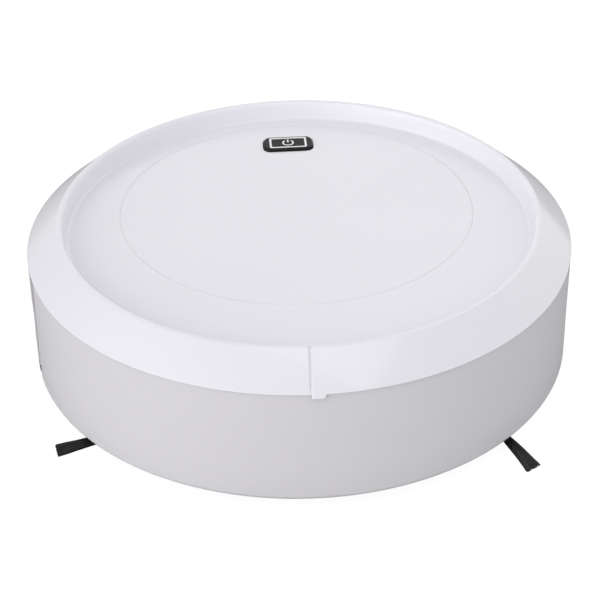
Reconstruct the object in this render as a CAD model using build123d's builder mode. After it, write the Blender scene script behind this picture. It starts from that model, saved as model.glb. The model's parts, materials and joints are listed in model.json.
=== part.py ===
"""Small round robot vacuum cleaner, in millimetres.

Origin on the floor under the body's centre, +Z up, front towards -Y.
"""

import os
from math import cos, radians, sin

from build123d import *

# body
body_r = 125.0
body_h = 75.0
base_z = 6.2
base_t = 2.8
deck_z = 56.0
deck_t = 2.0
wall_t = 2.8
wall_top = 62.3
edge_r = 3.5
seam_z = 12.0
inner_wall_r = 115.6
inner_wall_t = 2.2

# top cover
cover_z = 62.6
crest_r = 108.6
crest_fillet = 1.5
dish_z = 66.35
dish_r = 106.5
cover_t = 2.2
disc_r = 82.6
disc_y = 16.9
disc_t = 1.2
disc_groove = 0.6
button_y = 79.0
button_w = 24.0
button_d = 13.0
button_rise = 1.2
tab_x = -0.2
tab_w = 6.4
tab_reach = 2.3
tab_t = 1.6
groove_x = -3.3
groove_w = 0.8
hinge_y = 120.6
hinge_z = 59.6
hinge_r = 2.4
hinge_pin_r = 1.25

# bumper
bumper_half = 77.0
fixed_half = 79.0
bumper_top = 62.3
tongue_x = 40.0

# drive units
wheel_x = 87.0
wheel_y = 20.0
wheel_r = 26.0
wheel_w = 17.0
rim_r = 20.0
pivot_y = 56.0
pivot_z = 24.0
arm_in = 61.0
arm_out = 76.9
arm_pin_r = 2.0
axle_r = 3.0
motor_y = 38.0

# caster
caster_y = -92.0
caster_trail = 4.0
caster_r = 9.0
pocket_r = 16.5
stem_r = 3.0

# side brushes
brush_x = 75.2
brush_y = -61.1
hub_r = 9.0
spindle_r = 3.0
tuft_root = 13.0
tuft_tip = 44.0
tuft_angles_right = (-64.7, 55.3, 175.3)
tuft_angles_left = (198.0, 318.0, 78.0)

# suction, dust box and blower
slot_w = 68.0
slot_d = 12.0
slot_y = -51.0
box_w = 104.0
box_front = -64.0
box_rear = 20.0
box_z = 11.0
box_t = 2.0
rim_w = 5.0
blower_z = 33.0
blower_r = 21.5
fan_r = 17.5
shaft_r = 1.5

# battery and board
battery_y = 84.0
battery_w = 68.5
battery_d = 37.5
battery_h = 18.5
board_z = 34.0
board_t = 1.6
standoffs = [(x, y) for x in (-44, 44) for y in (72, 100)]

# side recess
panel_y = -4.5
panel_z = 33.0
panel_w = 34.0
panel_h = 19.0
jack_y = -12.0
rocker_y = 3.0
rocker_x = -117.0
rocker_tilt = 8.0

# screws: angle from the front in degrees, radius
base_screw_spots = [(-38, 109.3), (38, 109.3), (-112, 118.4), (112, 118.4), (-155, 118.4), (155, 118.4)]
deck_screw_spots = [(-60, 109.3), (60, 109.3), (-125, 113.2), (125, 113.2)]

tiny = 0.05
base_top = base_z + base_t
deck_top = deck_z + deck_t


def spot(angle, radius, z=0.0):
    """Place at an angle from the front, with local Y pointing at the centre."""
    x = radius * sin(radians(angle))
    y = -radius * cos(radians(angle))
    return Location((x, y, z), (0, 0, angle))


def front_wedge(half, size=220.0):
    """Points of the wedge that opens to the front by the half angle."""
    x = size * sin(radians(half))
    y = -size * cos(radians(half))
    return [(0, 0), (-x, y), (-size, -size), (size, -size), (x, y)]


def front_ring(r_out, r_in, half, z0, z1):
    """Arc of a ring round the front."""
    with BuildPart() as ring:
        with BuildSketch(Plane.XY.offset(z0)):
            Circle(r_out)
            Circle(r_in, mode=Mode.SUBTRACT)
            with BuildLine():
                Polyline(*front_wedge(half), close=True)
            make_face(mode=Mode.INTERSECT)
        extrude(amount=z1 - z0)
    return ring.part


def rear_ring(r_out, r_in, half, z0, z1):
    """Arc of a ring round the rear, from the half angle on each side."""
    with BuildPart() as ring:
        with BuildSketch(Plane.XY.offset(z0)):
            Circle(r_out)
            if r_in > 0:
                Circle(r_in, mode=Mode.SUBTRACT)
            with BuildLine():
                Polyline(*front_wedge(half), close=True)
            make_face(mode=Mode.SUBTRACT)
        extrude(amount=z1 - z0)
    return ring.part


def block(x0, x1, y0, y1, z0, z1, mode=Mode.ADD):
    """Box given by its limits."""
    with Locations(((x0 + x1) / 2, (y0 + y1) / 2, (z0 + z1) / 2)):
        return Box(x1 - x0, y1 - y0, z1 - z0, mode=mode)


def post(x, y, z0, z1, radius, mode=Mode.ADD):
    """Upright cylinder."""
    with Locations((x, y, (z0 + z1) / 2)):
        return Cylinder(radius, z1 - z0, mode=mode)


def rod_x(x0, x1, y, z, radius, mode=Mode.ADD):
    """Cylinder along X."""
    with Locations(Location(((x0 + x1) / 2, y, z), (0, 90, 0))):
        return Cylinder(radius, x1 - x0, mode=mode)


def rod_y(x, y0, y1, z, radius, mode=Mode.ADD):
    """Cylinder along Y."""
    with Locations(Location((x, (y0 + y1) / 2, z), (90, 0, 0))):
        return Cylinder(radius, y1 - y0, mode=mode)


def save(part, name):
    """Name the piece and write it."""
    part.label = name
    export_step(part, f"parts/{name}.step")


def save_pair(right, name):
    """Write the right-hand piece and its mirror image."""
    left = mirror(right, about=Plane.YZ)
    save(right, f"{name}_right")
    save(left, f"{name}_left")


os.makedirs("parts", exist_ok=True)

# ---------------------------------------------------------------- base plate
ring = rear_ring(body_r, 0, fixed_half, base_z, seam_z)
ring_cut = rear_ring(121.6, 0, fixed_half - 4, base_top, seam_z + 1)
with BuildPart() as rim:
    add(ring)
    fillet(rim.edges().filter_by(GeomType.CIRCLE).group_by(Axis.Z)[0], edge_r)
    add(ring_cut, mode=Mode.SUBTRACT)

with BuildPart() as base_plate:
    with BuildSketch(Plane.XY.offset(base_z)):
        Circle(inner_wall_r)
    extrude(amount=base_t)
    add(rim.part)
    for side in (-1, 1):
        # wheel and arm openings
        with Locations((side * wheel_x, wheel_y + 0.5, base_z)):
            Box(wheel_w + 4, 57, 12, mode=Mode.SUBTRACT)
        with Locations((side * 69.5, wheel_y + 4, base_z)):
            Box(19, 36, 12, mode=Mode.SUBTRACT)
        # ears of the arm's pivot
        for ear_x in (58.9, 79.0):
            with Locations((side * ear_x, pivot_y, (base_z + 1 + pivot_z) / 2)):
                Box(3, 9.4, pivot_z - base_z - 1)
            with Locations(Location((side * ear_x, pivot_y, pivot_z), (0, 90, 0))):
                Cylinder(4.7, 3)
        rod_x(side * 69 - 15, side * 69 + 15, pivot_y, pivot_z, arm_pin_r + tiny, Mode.SUBTRACT)
        # brush spindle
        post(side * brush_x, brush_y, base_z - 1, base_top + 1, spindle_r + 1, Mode.SUBTRACT)
        # post of the bumper's light gate
        block(side * tongue_x - 2.5, side * tongue_x + 2.5, -92, -87, base_z + 1, 39)
        # battery door screw boss
        post(side * 38.7, battery_y, base_z + 1, 16, 4)
        post(side * 38.7, battery_y, base_z - 1, 14, 1.2 + tiny, Mode.SUBTRACT)
        # drop sensor window
        with Locations((side * 30, -104, base_z)):
            Box(14, 6, 12, mode=Mode.SUBTRACT)
    # caster pocket
    post(0, caster_y, base_z, 29, pocket_r + 2)
    post(0, caster_y, 28, 35, stem_r + 2.5)
    post(0, caster_y, base_z - 1, 27, pocket_r, Mode.SUBTRACT)
    post(0, caster_y, 26, 36, stem_r + tiny, Mode.SUBTRACT)
    # suction slot with a collar up to the dust box
    block(-slot_w / 2 - 2, slot_w / 2 + 2, slot_y - 8, slot_y + 8, base_z, box_z)
    with Locations((0, slot_y, 8)):
        Box(slot_w, slot_d, 20, mode=Mode.SUBTRACT)
    # battery opening and the recess of its door
    with Locations((0, battery_y, base_z)):
        Box(71, 39, 12, mode=Mode.SUBTRACT)
    with Locations((0, battery_y, base_z + 1)):
        Box(84, 45, 2, mode=Mode.SUBTRACT)
    # board standoffs
    for x, y in standoffs:
        post(x, y, base_top - 0.4, board_z, 3)
        post(x, y, 26, board_z + 1, 1.2 + tiny, Mode.SUBTRACT)
    # screw holes with sunk heads
    for angle, radius in base_screw_spots:
        with Locations(spot(angle, radius, base_z)):
            Cylinder(1.6 + tiny, 12, mode=Mode.SUBTRACT)
            Cylinder(3.2, 3.2, mode=Mode.SUBTRACT)
save(base_plate.part, "base_plate")

# ---------------------------------------------------------------- fixed walls
rear_wall = rear_ring(body_r, body_r - wall_t, fixed_half, seam_z, wall_top)
front_wall = front_ring(inner_wall_r, inner_wall_r - inner_wall_t, fixed_half + 1.5, base_top, wall_top)
web_end = front_ring(body_r, inner_wall_r - inner_wall_t, fixed_half + 1.5, seam_z, wall_top)
web_cut = front_ring(body_r + 1, 1, fixed_half, seam_z - 1, wall_top + 1)
webs = web_end - web_cut

with BuildPart() as mid_frame:
    add(rear_wall)
    add(front_wall)
    add(webs)
    # screw bosses on ribs
    for angle, radius in base_screw_spots:
        with Locations(spot(angle, radius, 17)):
            Cylinder(4.5, 10)
            Cylinder(1.6 + tiny, 12, mode=Mode.SUBTRACT)
    for angle, radius in deck_screw_spots:
        reach = inner_wall_r - 1 - radius if abs(angle) < fixed_half else body_r - 1 - radius
        with Locations(spot(angle, radius, 48)):
            Cylinder(4, 16)
            with Locations((0, -reach / 2, 0)):
                Box(4, reach, 16)
            with Locations((0, 0, 2)):
                Cylinder(1.25 + tiny, 13, mode=Mode.SUBTRACT)
    # slots for the bumper's tongues
    for side in (-1, 1):
        block(side * tongue_x - 2.1, side * tongue_x + 2.1, -112, -100, 39.4, 44.6, Mode.SUBTRACT)
    # side recess
    block(-127, -115, panel_y - panel_w / 2, panel_y + panel_w / 2,
          panel_z - panel_h / 2, panel_z + panel_h / 2, Mode.SUBTRACT)
    # exhaust slots
    for angle in range(156, 206, 6):
        with Locations(spot(angle, body_r, 34)):
            Box(3.2, 12, 18, mode=Mode.SUBTRACT)
    # hinge notch and knuckles
    block(-28.5, 28.5, 112, 127, 55.6, 64, Mode.SUBTRACT)
    for side in (-1, 1):
        block(side * 13 - 3, side * 13 + 3, hinge_y - hinge_r, 122.8, 52, hinge_z)
        rod_x(side * 13 - 3, side * 13 + 3, hinge_y, hinge_z, hinge_r)
        rod_x(side * 13 - 4, side * 13 + 4, hinge_y, hinge_z, hinge_pin_r + 0.02, Mode.SUBTRACT)
save(mid_frame.part, "mid_frame")

# ---------------------------------------------------------------- deck
deck_rear = rear_ring(117.2, 0, fixed_half + 3, deck_z, deck_top)
with BuildPart() as deck:
    with BuildSketch(Plane.XY.offset(deck_z)):
        Circle(112.9)
    extrude(amount=deck_t)
    add(deck_rear)
    block(-54, 54, box_front - 2, box_rear + 2, deck_z - 1, deck_top + 1, Mode.SUBTRACT)
    for angle, radius in deck_screw_spots:
        with Locations(spot(angle, radius, deck_z)):
            Cylinder(1.6, 8, mode=Mode.SUBTRACT)
save(deck.part, "deck")

# ---------------------------------------------------------------- screws
with BuildPart() as base_screws:
    for angle, radius in base_screw_spots:
        with Locations(spot(angle, radius, base_z + 0.8)):
            Cylinder(2.9, 1.6)
        with Locations(spot(angle, radius, base_z + 8)):
            Cylinder(1.6, 13.6)
save(base_screws.part, "base_screws")

with BuildPart() as deck_screws:
    for angle, radius in deck_screw_spots:
        with Locations(spot(angle, radius, deck_top + 0.7)):
            Cylinder(2.8, 1.4)
        with Locations(spot(angle, radius, deck_top - 4)):
            Cylinder(1.25, 9)
save(deck_screws.part, "deck_screws")

# ---------------------------------------------------------------- top cover
# the rounded crest stands at the body's height, so the sharp corner is a little higher
crest_z = body_h + 0.82 * crest_fillet
bevel_len = ((body_r - crest_r) ** 2 + (crest_z - cover_z) ** 2) ** 0.5
down = (crest_r - body_r) / bevel_len
rise = (crest_z - cover_z) / bevel_len
tab_root = (-body_r - 0.8 * down, cover_z + 0.8 * rise)
tab_tip = (-body_r + tab_reach * down, cover_z - tab_reach * rise)
tab_under = (tab_tip[0] + tab_t * rise, tab_tip[1] + tab_t * down)
tab_inner = (tab_root[0] + tab_t * rise, tab_root[1] + tab_t * down)
tab_outline = [tab_root, tab_tip, tab_under, tab_inner]
with BuildPart() as top_cover:
    with BuildSketch(Plane.XZ) as profile:
        with BuildLine():
            Polyline(
                (0, dish_z), (dish_r, dish_z), (crest_r, crest_z), (body_r, cover_z), (121.5, cover_z),
                (110.3, 72.2), (108.2, dish_z - cover_t), (0, dish_z - cover_t), close=True,
            )
        make_face()
        fillet(profile.vertices().sort_by(Axis.Y)[-1], crest_fillet)
        fillet(profile.vertices().filter_by(lambda v: abs(v.X - dish_r) < 0.1), 1.2)
    revolve(axis=Axis.Z)
    # recess of the trim disc
    post(0, disc_y, dish_z - disc_t, dish_z + 1, disc_r + disc_groove, Mode.SUBTRACT)
    # button opening
    with BuildSketch(Plane.XY.offset(dish_z - 5)):
        with Locations((0, button_y)):
            RectangleRounded(button_w + 0.8, button_d + 0.8, 3.9)
    extrude(amount=8, mode=Mode.SUBTRACT)
    # lifting tab, which carries the bevel on below its edge, and the groove above it
    with BuildSketch(Plane.YZ.offset(tab_x - tab_w / 2)) as tab:
        with BuildLine():
            Polyline(*tab_outline, close=True)
        make_face()
        fillet(tab.vertices().sort_by(Axis.Y)[:2], 0.5)
    extrude(amount=tab_w)
    with Locations(Location((groove_x, -(body_r + crest_r) / 2, (crest_z + cover_z) / 2), (39.6, 0, 0))):
        Box(groove_w, 22, 1.2, mode=Mode.SUBTRACT)
    # hinge knuckle
    block(-9.7, 9.7, hinge_y - hinge_r, hinge_y + 1, hinge_z, 64.6)
    rod_x(-9.7, 9.7, hinge_y, hinge_z, hinge_r)
    rod_x(-11, 11, hinge_y, hinge_z, hinge_pin_r + 0.06, Mode.SUBTRACT)
save(top_cover.part, "top_cover")

with BuildPart() as lid_hinge_pin:
    rod_x(-15.8, 15.8, hinge_y, hinge_z, hinge_pin_r)
save(lid_hinge_pin.part, "lid_hinge_pin")

with BuildPart() as trim_disc:
    post(0, disc_y, dish_z - disc_t, dish_z, disc_r)
    with BuildSketch(Plane.XY.offset(dish_z - 3)):
        with Locations((0, button_y)):
            RectangleRounded(button_w + 0.8, button_d + 0.8, 3.9)
    extrude(amount=6, mode=Mode.SUBTRACT)
save(trim_disc.part, "trim_disc")

# ---------------------------------------------------------------- start button
button_top = dish_z + button_rise
mark_w = 18.4
mark_d = 10.2
mark_line = 0.8
mark_depth = 0.3


def button_mark():
    """White frame with a generic power symbol."""
    with BuildPart() as mark:
        with BuildSketch(Plane.XY.offset(button_top - mark_depth)):
            with Locations((0, button_y)):
                Rectangle(mark_w, mark_d)
                Rectangle(mark_w - 2 * mark_line, mark_d - 2 * mark_line, mode=Mode.SUBTRACT)
                Circle(2.7)
                Circle(2.0, mode=Mode.SUBTRACT)
            with Locations((0, button_y - 2.6)):
                Rectangle(2.2, 2.6, mode=Mode.SUBTRACT)
            with Locations((0, button_y - 2.1)):
                Rectangle(0.7, 3.0)
        extrude(amount=mark_depth)
    return mark.part


inlay = button_mark()
save(inlay, "button_inlay")

with BuildPart() as start_button:
    with BuildSketch(Plane.XY.offset(63)):
        with Locations((0, button_y)):
            RectangleRounded(button_w, button_d, 3.5)
    extrude(amount=button_top - 63)
    chamfer(start_button.edges().group_by(Axis.Z)[-1], 0.5)
    with BuildSketch(Plane.XY.offset(62.6)):
        with Locations((0, button_y)):
            RectangleRounded(button_w + 3, button_d + 3, 3)
    extrude(amount=1.35)
    post(0, button_y, 62.1, 62.7, 2.2)
    add(inlay, mode=Mode.SUBTRACT)
save(start_button.part, "start_button")

with BuildPart() as start_switch:
    block(-3, 3, button_y - 3, button_y + 3, deck_top, 60.2)
    post(0, button_y, 60, 61, 1.75)
save(start_switch.part, "start_switch")

# ---------------------------------------------------------------- bumper
with BuildPart() as bumper_ring:
    with BuildSketch(Plane.XZ) as section:
        with BuildLine():
            Polyline(
                (119.8, base_z), (body_r, base_z), (body_r, bumper_top), (body_r - wall_t, bumper_top),
                (body_r - wall_t, base_z + 2.6), (119.8, base_z + 2.6), close=True,
            )
        make_face()
        fillet(section.vertices().filter_by(lambda v: v.X > 124.9 and v.Y < 10), 2.4)
        fillet(section.vertices().filter_by(lambda v: v.X > 124.9 and v.Y > 50), 0.4)
    revolve(axis=Axis.Z)
front_half = front_ring(body_r + 2, 1, bumper_half, 0, body_h)
with BuildPart() as bumper:
    add(bumper_ring.part)
    add(front_half, mode=Mode.INTERSECT)
    # notch for the cover's tab
    block(tab_x - tab_w / 2 - 0.5, tab_x + tab_w / 2 + 0.5, -127, -118,
          tab_under[1] - 0.5, body_h, Mode.SUBTRACT)
    # tongues with thin flags for the light gates
    for side in (-1, 1):
        block(side * tongue_x - 1.5, side * tongue_x + 1.5, -117, -103.6, 40, 44)
        block(side * tongue_x - 0.4, side * tongue_x + 0.4, -104, -98, 40, 44)
save(bumper.part, "bumper")

with BuildPart() as bumper_sensor:
    block(tongue_x - 2.5, tongue_x + 2.5, -92, -87, 39, 45)
    block(tongue_x - 2.5, tongue_x - 0.8, -100, -92, 39, 45)
    block(tongue_x + 0.8, tongue_x + 2.5, -100, -92, 39, 45)
save_pair(bumper_sensor.part, "bumper_sensor")

# ---------------------------------------------------------------- dust box
with BuildPart() as dust_box:
    block(-box_w / 2, box_w / 2, box_front, box_rear, box_z, deck_top + 1.5)
    block(-box_w / 2 - rim_w, box_w / 2 + rim_w, box_front - rim_w, box_rear + rim_w,
          deck_top, deck_top + 1.5)
    fillet(dust_box.edges().filter_by(Axis.Z), 3)
    block(-box_w / 2 + box_t, box_w / 2 - box_t, box_front + box_t, box_rear - box_t,
          box_z + box_t, deck_top + 2, Mode.SUBTRACT)
    # inlet chimney
    block(-slot_w / 2 - 2, slot_w / 2 + 2, slot_y - 8, slot_y + 8, box_z + 1, 30)
    block(-slot_w / 2, slot_w / 2, slot_y - slot_d / 2, slot_y + slot_d / 2, box_z - 1, 31, Mode.SUBTRACT)
    # window to the blower
    block(-30, 30, box_rear - 3, box_rear + 1, 20, 46, Mode.SUBTRACT)
save(dust_box.part, "dust_box")

with BuildPart() as dust_box_cover:
    block(-box_w / 2 - rim_w, box_w / 2 + rim_w, box_front - rim_w, box_rear + rim_w,
          deck_top + 1.5, deck_top + 3)
    fillet(dust_box_cover.edges().filter_by(Axis.Z), 4)
    with Locations((0, -22, deck_top + 3)):
        Box(40, 16, 1.6, mode=Mode.SUBTRACT)
save(dust_box_cover.part, "dust_box_cover")

filter_rear = box_rear - box_t
with BuildPart() as filter_frame:
    block(-34, 34, filter_rear - 6, filter_rear, 15, 50)
    block(-30, 30, filter_rear - 7, filter_rear + 1, 20, 46, Mode.SUBTRACT)
save(filter_frame.part, "filter_frame")

pleats = 15
pleat_step = 60.0 / pleats
pleat_points = [(-30 + i * pleat_step / 2, filter_rear - (5 if i % 2 else 1.5)) for i in range(2 * pleats + 1)]
pleat_back = [(x, y + 0.9) for x, y in reversed(pleat_points)]
with BuildPart() as filter_media:
    with BuildSketch(Plane.XY.offset(20)):
        with BuildLine():
            Polyline(*pleat_points, *pleat_back, close=True)
        make_face()
    extrude(amount=26)
save(filter_media.part, "filter_media")

# ---------------------------------------------------------------- blower
with BuildPart() as blower_housing:
    rod_y(0, box_rear + 0.5, 44, blower_z, blower_r)
    block(0, 34, 24, 42, 42, 54)
    rod_y(0, box_rear + 2.5, 42, blower_z, blower_r - 2, Mode.SUBTRACT)
    block(2, 35, 26, 40, 44, 52, Mode.SUBTRACT)
    rod_y(0, box_rear - 1, box_rear + 3, blower_z, 12, Mode.SUBTRACT)
    rod_y(0, 41, 45, blower_z, 4, Mode.SUBTRACT)
save(blower_housing.part, "blower_housing")

with BuildPart() as blower_motor:
    rod_y(0, 44, 63, blower_z, 12)
    rod_y(0, 43, 62, blower_z, shaft_r + 0.06, Mode.SUBTRACT)
save(blower_motor.part, "blower_motor")

blades = 9
with BuildPart() as blower_impeller:
    rod_y(0, 38.4, 39.8, blower_z, fan_r)
    rod_y(0, 28, 39, blower_z, 5)
    rod_y(0, 30, 60, blower_z, shaft_r)
    for i in range(blades):
        with Locations(Location((0, 31.7, blower_z), (0, i * 360 / blades, 0))):
            with Locations(Location((10.5, 0, 0), (0, 22, 0))):
                Box(12.5, 14, 1)
save(blower_impeller.part, "blower_impeller")

# ---------------------------------------------------------------- battery and board
with BuildPart() as battery_pack:
    with Locations((0, battery_y, base_z + 2.2 + battery_h / 2)):
        Box(battery_w, battery_d, battery_h)
    fillet(battery_pack.edges().filter_by(Axis.X), 9)
    rod_x(-battery_w, battery_w, battery_y, base_z + 2.2, 3, Mode.SUBTRACT)
save(battery_pack.part, "battery_pack")

with BuildPart() as battery_door:
    with Locations((0, battery_y, base_z + 1)):
        Box(83.4, 44.4, 1.9)
    for side in (-1, 1):
        post(side * 38.7, battery_y, 0, 12, 1.2 + tiny, Mode.SUBTRACT)
        post(side * 38.7, battery_y, 0, base_z + 1.1, 2.3, Mode.SUBTRACT)
        # finger grooves
        for i in range(4):
            block(side * 24 - 6, side * 24 + 6, battery_y - 8.5 + i * 5, battery_y - 6.5 + i * 5,
                  0, base_z + 0.7, Mode.SUBTRACT)
save(battery_door.part, "battery_door")

with BuildPart() as battery_door_screws:
    for side in (-1, 1):
        post(side * 38.7, battery_y, base_z + 0.1, base_z + 1.1, 2.1)
        post(side * 38.7, battery_y, base_z + 1, 13, 1.2)
save(battery_door_screws.part, "battery_door_screws")

board_top = board_z + board_t
with BuildPart() as main_board:
    block(-48, 48, 68, 104, board_z, board_top)
    for x, y in standoffs:
        post(x, y, board_z - 1, board_top + 1, 1.5, Mode.SUBTRACT)
save(main_board.part, "main_board")

with BuildPart() as board_screws:
    for x, y in standoffs:
        post(x, y, board_top, board_top + 1.4, 2.4)
        post(x, y, 28, board_top + 0.1, 1.2)
save(board_screws.part, "board_screws")

with BuildPart() as board_parts:
    block(-6, 6, 80, 92, board_top, board_top + 1.6)
    block(14, 20, 84, 89, board_top, board_top + 1.2)
    block(14, 20, 94, 99, board_top, board_top + 1.2)
    for x in (-32, -20, 28):
        block(x - 4, x + 4, 97, 103, board_top, board_top + 6)
    for x, y in ((-30, 76), (-20, 76), (26, 75)):
        post(x, y, board_top, board_top + 10, 4)
    post(32, 88, board_top, board_top + 4, 6)
save(board_parts.part, "board_parts")

# ---------------------------------------------------------------- drive units
with BuildPart() as wheel_hood:
    block(77.3, 98, -10, 51, base_top, 54.5)
    block(76, 96.4, -8.4, 49.4, base_top - 1, 52.9, Mode.SUBTRACT)
save_pair(wheel_hood.part, "wheel_hood")

with BuildPart() as suspension_arm:
    with BuildSketch(Plane.YZ.offset(arm_in)):
        with Locations((wheel_y, wheel_r)):
            Circle(10)
        with Locations((pivot_y, pivot_z)):
            Circle(6)
        make_hull()
    extrude(amount=arm_out - arm_in)
    rod_x(arm_in - 1, arm_out + 1, pivot_y, pivot_z, arm_pin_r + 0.06, Mode.SUBTRACT)
    rod_x(arm_in + 2.4, arm_out + 1, wheel_y, wheel_r, axle_r + 0.06, Mode.SUBTRACT)
save_pair(suspension_arm.part, "suspension_arm")

with BuildPart() as arm_pin:
    rod_x(57.4, 80.5, pivot_y, pivot_z, arm_pin_r)
save_pair(arm_pin.part, "arm_pin")

with BuildPart() as drive_motor:
    rod_x(39, arm_in, motor_y, pivot_z + 1, 7.5)
    rod_x(37.5, 39, motor_y, pivot_z + 1, 3)
save_pair(drive_motor.part, "drive_motor")

with BuildPart() as wheel_hub:
    rod_x(wheel_x - 7.5, wheel_x + 7.5, wheel_y, wheel_r, rim_r)
    rod_x(wheel_x + 3.5, wheel_x + 8, wheel_y, wheel_r, rim_r - 3, Mode.SUBTRACT)
    rod_x(wheel_x - 8, wheel_x - 3.5, wheel_y, wheel_r, rim_r - 3, Mode.SUBTRACT)
    rod_x(arm_in + 3, wheel_x + 6, wheel_y, wheel_r, axle_r)
    rod_x(77.5, wheel_x + 5, wheel_y, wheel_r, 5)
    with Locations(Location((wheel_x, wheel_y, wheel_r), (0, 90, 0))):
        with PolarLocations(11.5, 6):
            Cylinder(3.2, 9, mode=Mode.SUBTRACT)
save_pair(wheel_hub.part, "wheel_hub")

with BuildPart() as tyre:
    rod_x(wheel_x - wheel_w / 2, wheel_x + wheel_w / 2, wheel_y, wheel_r, wheel_r)
    chamfer(tyre.edges().filter_by(GeomType.CIRCLE), 1)
    rod_x(wheel_x - 10, wheel_x + 10, wheel_y, wheel_r, rim_r, Mode.SUBTRACT)
save_pair(tyre.part, "tyre")

# ---------------------------------------------------------------- caster
wheel_cy = caster_y + caster_trail
with BuildPart() as caster_fork:
    post(0, caster_y, 5, 25.5, pocket_r - 1)
    chamfer(caster_fork.edges().filter_by(GeomType.CIRCLE).group_by(Axis.Z)[-1], 3)
    post(0, caster_y, 25, 34, stem_r)
    block(-5.2, 5.2, wheel_cy - 10.5, wheel_cy + 10.5, 4, 19.5, Mode.SUBTRACT)
    rod_x(-17, 17, wheel_cy, caster_r, 1.5 + 0.02, Mode.SUBTRACT)
save(caster_fork.part, "caster_fork")

with BuildPart() as caster_axle:
    rod_x(-11.5, 11.5, wheel_cy, caster_r, 1.5)
save(caster_axle.part, "caster_axle")

with BuildPart() as caster_wheel:
    rod_x(-4.6, 4.6, wheel_cy, caster_r, caster_r)
    fillet(caster_wheel.edges().filter_by(GeomType.CIRCLE), 1.2)
    rod_x(-6, 6, wheel_cy, caster_r, 1.5 + 0.06, Mode.SUBTRACT)
save(caster_wheel.part, "caster_wheel")

# ---------------------------------------------------------------- side brushes
def brush_hub_part(x, angles):
    """Hub with three sockets and the spindle that goes up into the gearbox."""
    with BuildPart() as hub:
        post(x, brush_y, 1.5, 5.8, hub_r)
        chamfer(hub.edges().filter_by(GeomType.CIRCLE).group_by(Axis.Z)[0], 0.8)
        for angle in angles:
            with Locations(Location((x, brush_y, 2.9), (0, 0, angle))):
                with Locations((10, 0, 0)):
                    Box(6, 6, 2.6)
        post(x, brush_y, 5, 20, spindle_r)
        post(x, brush_y, 0, 10, 1.25, Mode.SUBTRACT)
        post(x, brush_y, 0, 2.7, 2.8, Mode.SUBTRACT)
    return hub.part


def bristle_part(x, angles):
    """Three soft tufts, each flaring to its tip."""
    with BuildPart() as tufts:
        for angle in angles:
            with BuildSketch(Plane((x, brush_y, 2.1), (cos(radians(angle)), sin(radians(angle)), 0))):
                with BuildLine():
                    Polyline((tuft_root, -2), (tuft_tip, -4), (tuft_tip, 4), (tuft_root, 2), close=True)
                make_face()
            extrude(amount=1.6)
    return tufts.part


save(brush_hub_part(brush_x, tuft_angles_right), "brush_hub_right")
save(brush_hub_part(-brush_x, tuft_angles_left), "brush_hub_left")
save(bristle_part(brush_x, tuft_angles_right), "bristles_right")
save(bristle_part(-brush_x, tuft_angles_left), "bristles_left")

with BuildPart() as brush_screw:
    post(brush_x, brush_y, 1.6, 2.7, 2.6)
    post(brush_x, brush_y, 2.6, 9, 1.2)
save_pair(brush_screw.part, "brush_screw")

with BuildPart() as brush_gearbox:
    post(brush_x, brush_y, base_top, 26, 14)
    post(brush_x, brush_y, base_top - 1, 21, spindle_r + 0.06, Mode.SUBTRACT)
save_pair(brush_gearbox.part, "brush_gearbox")

with BuildPart() as brush_motor:
    post(brush_x, brush_y, 26, 48, 11)
    post(brush_x, brush_y, 48, 49.5, 3)
save_pair(brush_motor.part, "brush_motor")

# ---------------------------------------------------------------- underside trim
with BuildPart() as cliff_windows:
    for side in (-1, 1):
        with Locations((side * 30, -104, base_z + 1.3)):
            Box(13.6, 5.6, 2.4)
save(cliff_windows.part, "cliff_windows")

with BuildPart() as inlet_lip:
    block(-slot_w / 2, slot_w / 2, -44.2, -42.6, 2, base_z)
save(inlet_lip.part, "inlet_lip")

# ---------------------------------------------------------------- side recess
with BuildPart() as side_panel:
    post(0, 0, panel_z - panel_h / 2 + 0.2, panel_z + panel_h / 2 - 0.2, body_r - 0.4)
    block(-127, -117.4, panel_y - panel_w / 2 + 0.2, panel_y + panel_w / 2 - 0.2, 20, 60, Mode.INTERSECT)
    block(-127, -119.4, panel_y - panel_w / 2 + 1.7, panel_y + panel_w / 2 - 1.7,
          panel_z - panel_h / 2 + 1.7, panel_z + panel_h / 2 - 1.7, Mode.SUBTRACT)
    rod_x(-127, -115, jack_y, panel_z, 4, Mode.SUBTRACT)
    block(-127, -115, rocker_y - 5.05, rocker_y + 5.05, panel_z - 6.1, panel_z + 6.1, Mode.SUBTRACT)
save(side_panel.part, "side_panel")

with BuildPart() as charging_socket:
    rod_x(-120.4, -108, jack_y, panel_z, 3.9)
    rod_x(-121, -110.5, jack_y, panel_z, 2.75, Mode.SUBTRACT)
    rod_x(-119, -110, jack_y, panel_z, 1)
save(charging_socket.part, "charging_socket")

with BuildPart() as power_switch_case:
    block(-120.6, -119.4, rocker_y - 6, rocker_y + 6, panel_z - 7, panel_z + 7)
    block(-119.4, -106, rocker_y - 5, rocker_y + 5, panel_z - 6, panel_z + 6)
    block(-121, -111, rocker_y - 3.5, rocker_y + 3.5, panel_z - 4.9, panel_z + 4.9, Mode.SUBTRACT)
    rod_y(rocker_x, rocker_y - 4.4, rocker_y + 4.4, panel_z, 1.06, Mode.SUBTRACT)
save(power_switch_case.part, "power_switch_case")

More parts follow.
